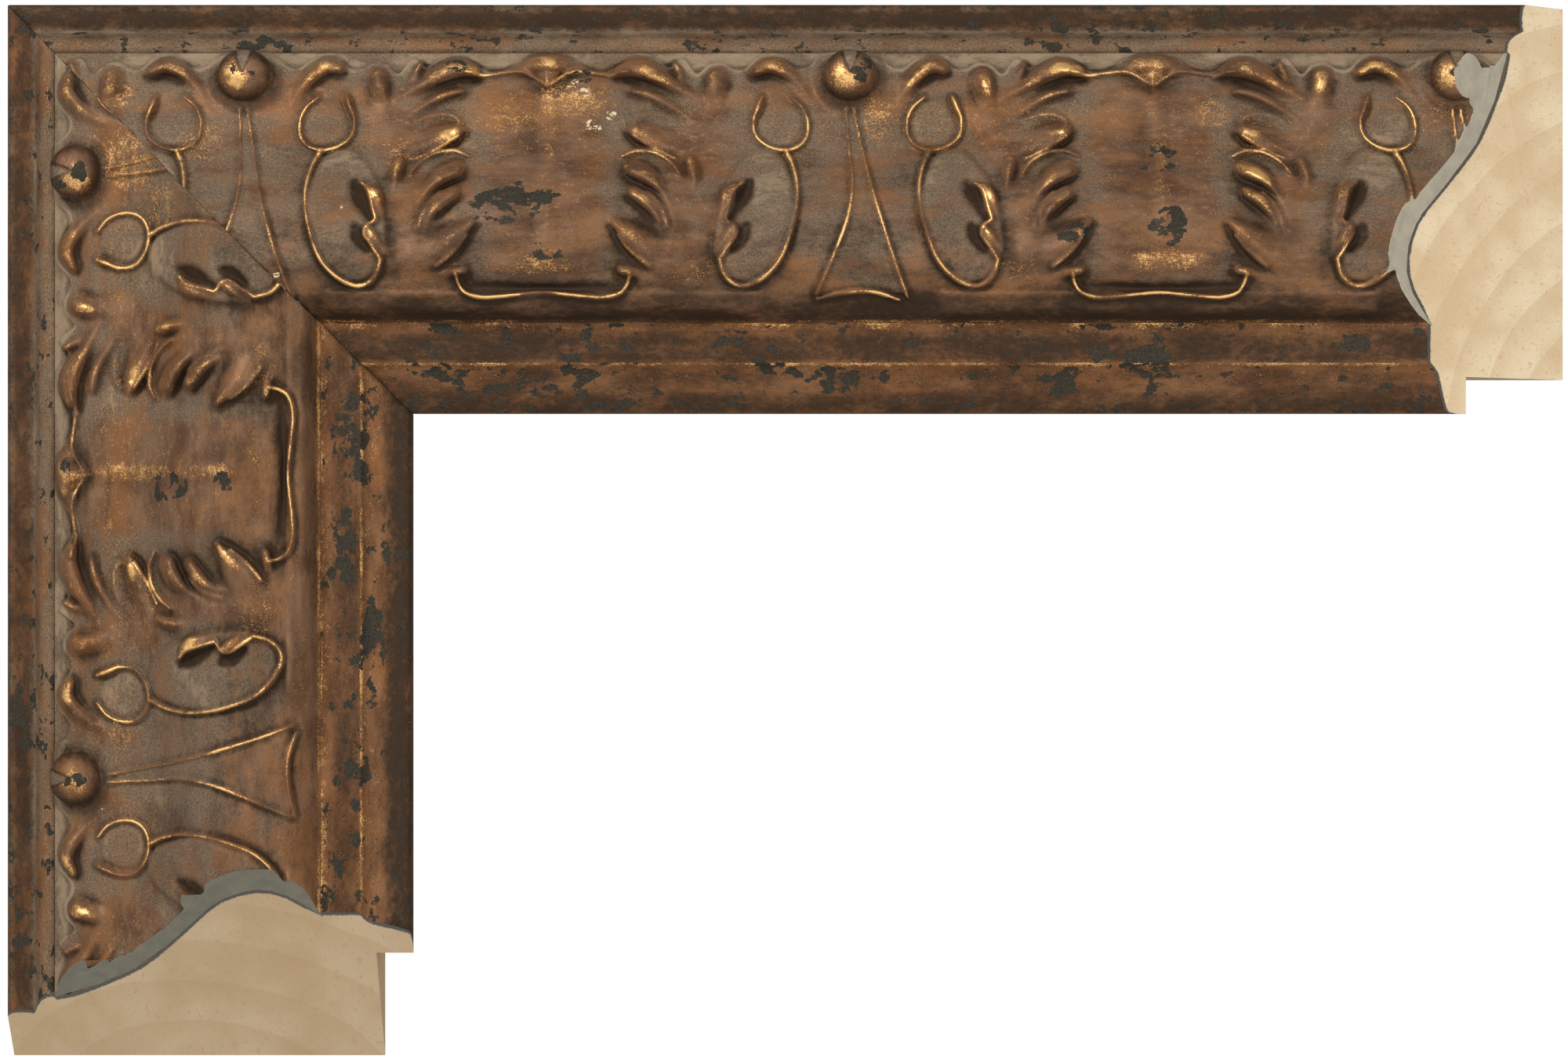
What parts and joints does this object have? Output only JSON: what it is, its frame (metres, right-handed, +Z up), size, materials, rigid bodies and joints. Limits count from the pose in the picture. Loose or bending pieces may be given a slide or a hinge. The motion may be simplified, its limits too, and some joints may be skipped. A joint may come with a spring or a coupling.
{
  "type": "picture frame moulding",
  "caption": "Mitred corner of a picture frame moulding: ogee timber rails, a rabbet behind the sight edge, and a pressed leaf, scroll, dart and ball ornament in rubbed bronze.",
  "frame": {"origin": "on the flat back of the top rail, above the balance point, where a hanger would hold it", "axes": "+X along the top rail away from the corner, +Z up, the carved face towards -Y, the back in the plane Y = 0"},
  "size_m": [0.2897, 0.0383, 0.1957],
  "materials": {
    "softwood": "bare sawn softwood at the ends and back, rubbed bronze and umber on the moulded face",
    "bronzed_composition": "bronze and copper rubbed over a dark ground, grey wash in the hollows, worn black in places"
  },
  "bodies": {
    "root": {"top_rail_timber": "softwood", "side_rail_timber": "softwood", "top_rail_ornament": "bronzed_composition", "side_rail_ornament": "bronzed_composition"}
  },
  "joints": []
}
